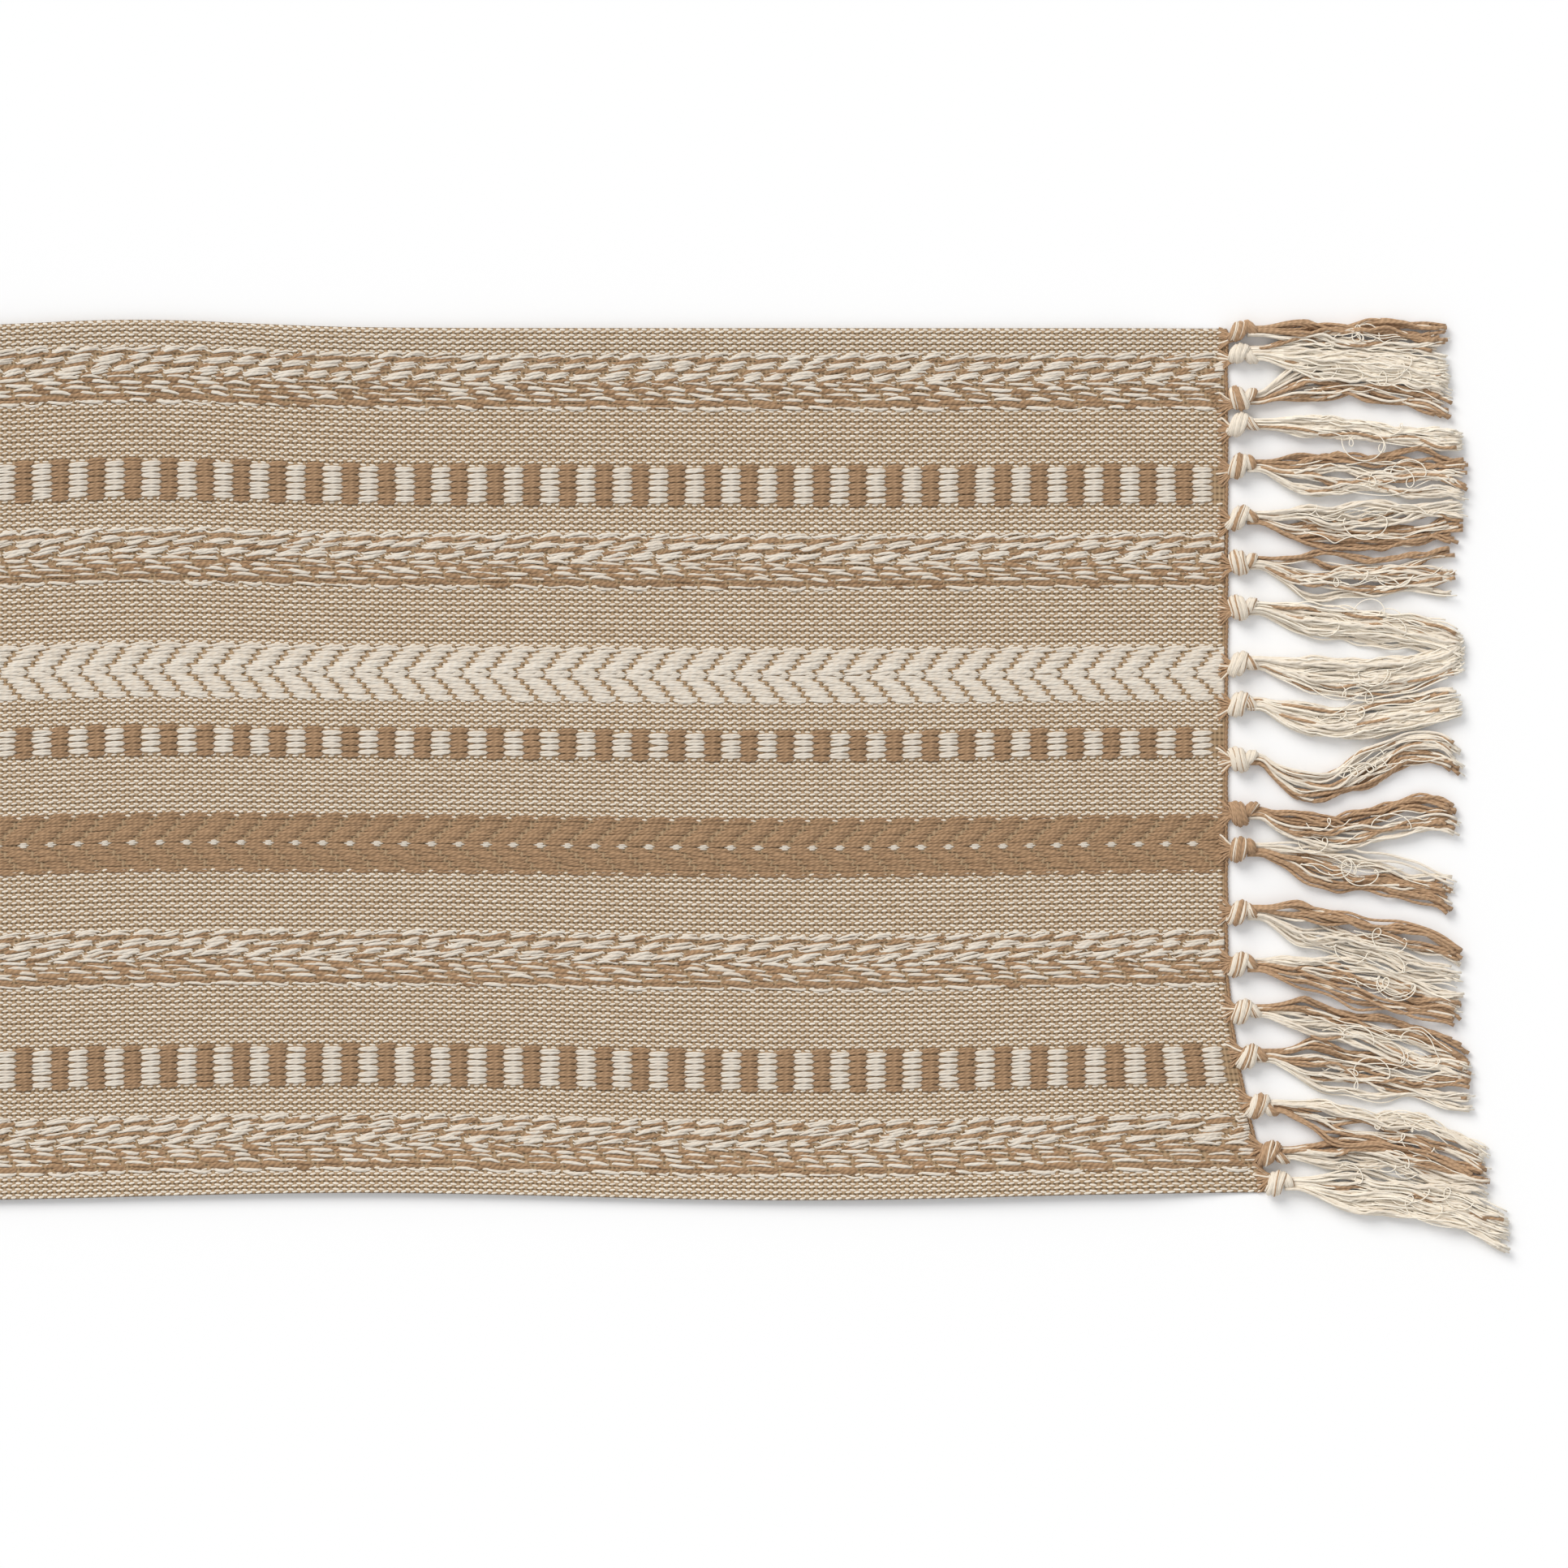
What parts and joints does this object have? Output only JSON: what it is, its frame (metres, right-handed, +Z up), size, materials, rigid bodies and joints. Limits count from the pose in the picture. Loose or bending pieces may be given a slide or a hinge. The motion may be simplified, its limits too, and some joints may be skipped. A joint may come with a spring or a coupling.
{
  "type": "table runner",
  "caption": "Long flat striped woven table runner in cream and tan yarns, with raised braided, checked and chevron stripes and knotted tassels along both ends.",
  "frame": {"origin": "middle of the cloth's underside, on the surface it lies on", "axes": "+X along the cloth towards the end that the picture shows, +Y across it towards the edge that is uppermost there, +Z up"},
  "size_m": [2.0676, 0.4013, 0.0085],
  "materials": {
    "ground_weave": "matte plain weave of cream warp over tan weft",
    "cream_yarn": "matte soft-spun cotton yarn",
    "tan_yarn": "matte two-ply cotton yarn",
    "mixed_yarn": "matte cream and tan yarns side by side"
  },
  "bodies": {
    "span": {"ground_cloth_span": "ground_weave", "mixed_braids_span": "mixed_yarn", "check_stripes_span": "mixed_yarn", "cream_chevron_span": "cream_yarn", "tan_chevron_span": "tan_yarn"},
    "drop_left": {"ground_cloth_left": "ground_weave", "mixed_braids_left": "mixed_yarn", "check_stripes_left": "mixed_yarn", "cream_chevron_left": "cream_yarn", "tan_chevron_left": "tan_yarn", "edge_binding_left": "tan_yarn", "knots_left": "mixed_yarn"},
    "drop_right": {"ground_cloth_right": "ground_weave", "mixed_braids_right": "mixed_yarn", "check_stripes_right": "mixed_yarn", "cream_chevron_right": "cream_yarn", "tan_chevron_right": "tan_yarn", "edge_binding_right": "tan_yarn", "knots_right": "mixed_yarn"},
    "tassel_left_01": {"tassel_left_01": "tan_yarn"},
    "tassel_left_02": {"tassel_left_02": "cream_yarn"},
    "tassel_left_03": {"tassel_left_03": "mixed_yarn"},
    "tassel_left_04": {"tassel_left_04": "cream_yarn"},
    "tassel_left_05": {"tassel_left_05": "mixed_yarn"},
    "tassel_left_06": {"tassel_left_06": "mixed_yarn"},
    "tassel_left_07": {"tassel_left_07": "mixed_yarn"},
    "tassel_left_08": {"tassel_left_08": "cream_yarn"},
    "tassel_left_09": {"tassel_left_09": "cream_yarn"},
    "tassel_left_10": {"tassel_left_10": "cream_yarn"},
    "tassel_left_11": {"tassel_left_11": "mixed_yarn"},
    "tassel_left_12": {"tassel_left_12": "tan_yarn"},
    "tassel_left_13": {"tassel_left_13": "tan_yarn"},
    "tassel_left_14": {"tassel_left_14": "mixed_yarn"},
    "tassel_left_15": {"tassel_left_15": "mixed_yarn"},
    "tassel_left_16": {"tassel_left_16": "mixed_yarn"},
    "tassel_left_17": {"tassel_left_17": "mixed_yarn"},
    "tassel_left_18": {"tassel_left_18": "mixed_yarn"},
    "tassel_left_19": {"tassel_left_19": "mixed_yarn"},
    "tassel_left_20": {"tassel_left_20": "cream_yarn"},
    "tassel_right_01": {"tassel_right_01": "tan_yarn"},
    "tassel_right_02": {"tassel_right_02": "cream_yarn"},
    "tassel_right_03": {"tassel_right_03": "mixed_yarn"},
    "tassel_right_04": {"tassel_right_04": "cream_yarn"},
    "tassel_right_05": {"tassel_right_05": "mixed_yarn"},
    "tassel_right_06": {"tassel_right_06": "mixed_yarn"},
    "tassel_right_07": {"tassel_right_07": "mixed_yarn"},
    "tassel_right_08": {"tassel_right_08": "cream_yarn"},
    "tassel_right_09": {"tassel_right_09": "cream_yarn"},
    "tassel_right_10": {"tassel_right_10": "cream_yarn"},
    "tassel_right_11": {"tassel_right_11": "mixed_yarn"},
    "tassel_right_12": {"tassel_right_12": "tan_yarn"},
    "tassel_right_13": {"tassel_right_13": "tan_yarn"},
    "tassel_right_14": {"tassel_right_14": "mixed_yarn"},
    "tassel_right_15": {"tassel_right_15": "mixed_yarn"},
    "tassel_right_16": {"tassel_right_16": "mixed_yarn"},
    "tassel_right_17": {"tassel_right_17": "mixed_yarn"},
    "tassel_right_18": {"tassel_right_18": "mixed_yarn"},
    "tassel_right_19": {"tassel_right_19": "mixed_yarn"},
    "tassel_right_20": {"tassel_right_20": "cream_yarn"}
  },
  "joints": [
    {"name": "fold_left", "type": "hinge", "parent": "span", "child": "drop_left", "pos_m": [-0.7625, 0, 0.0024], "axis": [0, 1, 0], "range_deg": [-90, 135]},
    {"name": "fold_right", "type": "hinge", "parent": "span", "child": "drop_right", "pos_m": [0.7625, 0, 0.0024], "axis": [0, -1, 0], "range_deg": [-90, 135]},
    {"name": "swing_left_01", "type": "hinge", "parent": "drop_left", "child": "tassel_left_01", "pos_m": [-0.9285, 0.186, 0.003], "axis": [0, 1, 0], "range_deg": [-90, 90]},
    {"name": "swing_left_02", "type": "hinge", "parent": "drop_left", "child": "tassel_left_02", "pos_m": [-0.9285, 0.1765, 0.003], "axis": [0, 1, 0], "range_deg": [-90, 90]},
    {"name": "swing_left_03", "type": "hinge", "parent": "drop_left", "child": "tassel_left_03", "pos_m": [-0.9285, 0.157, 0.003], "axis": [0, 1, 0], "range_deg": [-90, 90]},
    {"name": "swing_left_04", "type": "hinge", "parent": "drop_left", "child": "tassel_left_04", "pos_m": [-0.9285, 0.1455, 0.003], "axis": [0, 1, 0], "range_deg": [-90, 90]},
    {"name": "swing_left_05", "type": "hinge", "parent": "drop_left", "child": "tassel_left_05", "pos_m": [-0.9285, 0.1275, 0.003], "axis": [0, 1, 0], "range_deg": [-90, 90]},
    {"name": "swing_left_06", "type": "hinge", "parent": "drop_left", "child": "tassel_left_06", "pos_m": [-0.9285, 0.105, 0.003], "axis": [0, 1, 0], "range_deg": [-90, 90]},
    {"name": "swing_left_07", "type": "hinge", "parent": "drop_left", "child": "tassel_left_07", "pos_m": [-0.9285, 0.0855, 0.003], "axis": [0, 1, 0], "range_deg": [-90, 90]},
    {"name": "swing_left_08", "type": "hinge", "parent": "drop_left", "child": "tassel_left_08", "pos_m": [-0.9285, 0.066, 0.003], "axis": [0, 1, 0], "range_deg": [-90, 90]},
    {"name": "swing_left_09", "type": "hinge", "parent": "drop_left", "child": "tassel_left_09", "pos_m": [-0.9285, 0.0415, 0.003], "axis": [0, 1, 0], "range_deg": [-90, 90]},
    {"name": "swing_left_10", "type": "hinge", "parent": "drop_left", "child": "tassel_left_10", "pos_m": [-0.9285, 0.024, 0.003], "axis": [0, 1, 0], "range_deg": [-90, 90]},
    {"name": "swing_left_11", "type": "hinge", "parent": "drop_left", "child": "tassel_left_11", "pos_m": [-0.9285, 0, 0.003], "axis": [0, 1, 0], "range_deg": [-90, 90]},
    {"name": "swing_left_12", "type": "hinge", "parent": "drop_left", "child": "tassel_left_12", "pos_m": [-0.9285, -0.0235, 0.003], "axis": [0, 1, 0], "range_deg": [-90, 90]},
    {"name": "swing_left_13", "type": "hinge", "parent": "drop_left", "child": "tassel_left_13", "pos_m": [-0.9285, -0.039, 0.003], "axis": [0, 1, 0], "range_deg": [-90, 90]},
    {"name": "swing_left_14", "type": "hinge", "parent": "drop_left", "child": "tassel_left_14", "pos_m": [-0.9285, -0.0665, 0.003], "axis": [0, 1, 0], "range_deg": [-90, 90]},
    {"name": "swing_left_15", "type": "hinge", "parent": "drop_left", "child": "tassel_left_15", "pos_m": [-0.9285, -0.089, 0.003], "axis": [0, 1, 0], "range_deg": [-90, 90]},
    {"name": "swing_left_16", "type": "hinge", "parent": "drop_left", "child": "tassel_left_16", "pos_m": [-0.93004, -0.1095, 0.003], "axis": [0, 1, 0], "range_deg": [-90, 90]},
    {"name": "swing_left_17", "type": "hinge", "parent": "drop_left", "child": "tassel_left_17", "pos_m": [-0.93285, -0.129, 0.003], "axis": [0, 1, 0], "range_deg": [-90, 90]},
    {"name": "swing_left_18", "type": "hinge", "parent": "drop_left", "child": "tassel_left_18", "pos_m": [-0.93691, -0.1505, 0.003], "axis": [0, 1, 0], "range_deg": [-90, 90]},
    {"name": "swing_left_19", "type": "hinge", "parent": "drop_left", "child": "tassel_left_19", "pos_m": [-0.94152, -0.171, 0.003], "axis": [0, 1, 0], "range_deg": [-90, 90]},
    {"name": "swing_left_20", "type": "hinge", "parent": "drop_left", "child": "tassel_left_20", "pos_m": [-0.94478, -0.184, 0.003], "axis": [0, 1, 0], "range_deg": [-90, 90]},
    {"name": "swing_right_01", "type": "hinge", "parent": "drop_right", "child": "tassel_right_01", "pos_m": [0.9285, 0.186, 0.003], "axis": [0, -1, 0], "range_deg": [-90, 90]},
    {"name": "swing_right_02", "type": "hinge", "parent": "drop_right", "child": "tassel_right_02", "pos_m": [0.9285, 0.1765, 0.003], "axis": [0, -1, 0], "range_deg": [-90, 90]},
    {"name": "swing_right_03", "type": "hinge", "parent": "drop_right", "child": "tassel_right_03", "pos_m": [0.9285, 0.157, 0.003], "axis": [0, -1, 0], "range_deg": [-90, 90]},
    {"name": "swing_right_04", "type": "hinge", "parent": "drop_right", "child": "tassel_right_04", "pos_m": [0.9285, 0.1455, 0.003], "axis": [0, -1, 0], "range_deg": [-90, 90]},
    {"name": "swing_right_05", "type": "hinge", "parent": "drop_right", "child": "tassel_right_05", "pos_m": [0.9285, 0.1275, 0.003], "axis": [0, -1, 0], "range_deg": [-90, 90]},
    {"name": "swing_right_06", "type": "hinge", "parent": "drop_right", "child": "tassel_right_06", "pos_m": [0.9285, 0.105, 0.003], "axis": [0, -1, 0], "range_deg": [-90, 90]},
    {"name": "swing_right_07", "type": "hinge", "parent": "drop_right", "child": "tassel_right_07", "pos_m": [0.9285, 0.0855, 0.003], "axis": [0, -1, 0], "range_deg": [-90, 90]},
    {"name": "swing_right_08", "type": "hinge", "parent": "drop_right", "child": "tassel_right_08", "pos_m": [0.9285, 0.066, 0.003], "axis": [0, -1, 0], "range_deg": [-90, 90]},
    {"name": "swing_right_09", "type": "hinge", "parent": "drop_right", "child": "tassel_right_09", "pos_m": [0.9285, 0.0415, 0.003], "axis": [0, -1, 0], "range_deg": [-90, 90]},
    {"name": "swing_right_10", "type": "hinge", "parent": "drop_right", "child": "tassel_right_10", "pos_m": [0.9285, 0.024, 0.003], "axis": [0, -1, 0], "range_deg": [-90, 90]},
    {"name": "swing_right_11", "type": "hinge", "parent": "drop_right", "child": "tassel_right_11", "pos_m": [0.9285, 0, 0.003], "axis": [0, -1, 0], "range_deg": [-90, 90]},
    {"name": "swing_right_12", "type": "hinge", "parent": "drop_right", "child": "tassel_right_12", "pos_m": [0.9285, -0.0235, 0.003], "axis": [0, -1, 0], "range_deg": [-90, 90]},
    {"name": "swing_right_13", "type": "hinge", "parent": "drop_right", "child": "tassel_right_13", "pos_m": [0.9285, -0.039, 0.003], "axis": [0, -1, 0], "range_deg": [-90, 90]},
    {"name": "swing_right_14", "type": "hinge", "parent": "drop_right", "child": "tassel_right_14", "pos_m": [0.9285, -0.0665, 0.003], "axis": [0, -1, 0], "range_deg": [-90, 90]},
    {"name": "swing_right_15", "type": "hinge", "parent": "drop_right", "child": "tassel_right_15", "pos_m": [0.9285, -0.089, 0.003], "axis": [0, -1, 0], "range_deg": [-90, 90]},
    {"name": "swing_right_16", "type": "hinge", "parent": "drop_right", "child": "tassel_right_16", "pos_m": [0.93004, -0.1095, 0.003], "axis": [0, -1, 0], "range_deg": [-90, 90]},
    {"name": "swing_right_17", "type": "hinge", "parent": "drop_right", "child": "tassel_right_17", "pos_m": [0.93285, -0.129, 0.003], "axis": [0, -1, 0], "range_deg": [-90, 90]},
    {"name": "swing_right_18", "type": "hinge", "parent": "drop_right", "child": "tassel_right_18", "pos_m": [0.93691, -0.1505, 0.003], "axis": [0, -1, 0], "range_deg": [-90, 90]},
    {"name": "swing_right_19", "type": "hinge", "parent": "drop_right", "child": "tassel_right_19", "pos_m": [0.94152, -0.171, 0.003], "axis": [0, -1, 0], "range_deg": [-90, 90]},
    {"name": "swing_right_20", "type": "hinge", "parent": "drop_right", "child": "tassel_right_20", "pos_m": [0.94478, -0.184, 0.003], "axis": [0, -1, 0], "range_deg": [-90, 90]}
  ]
}
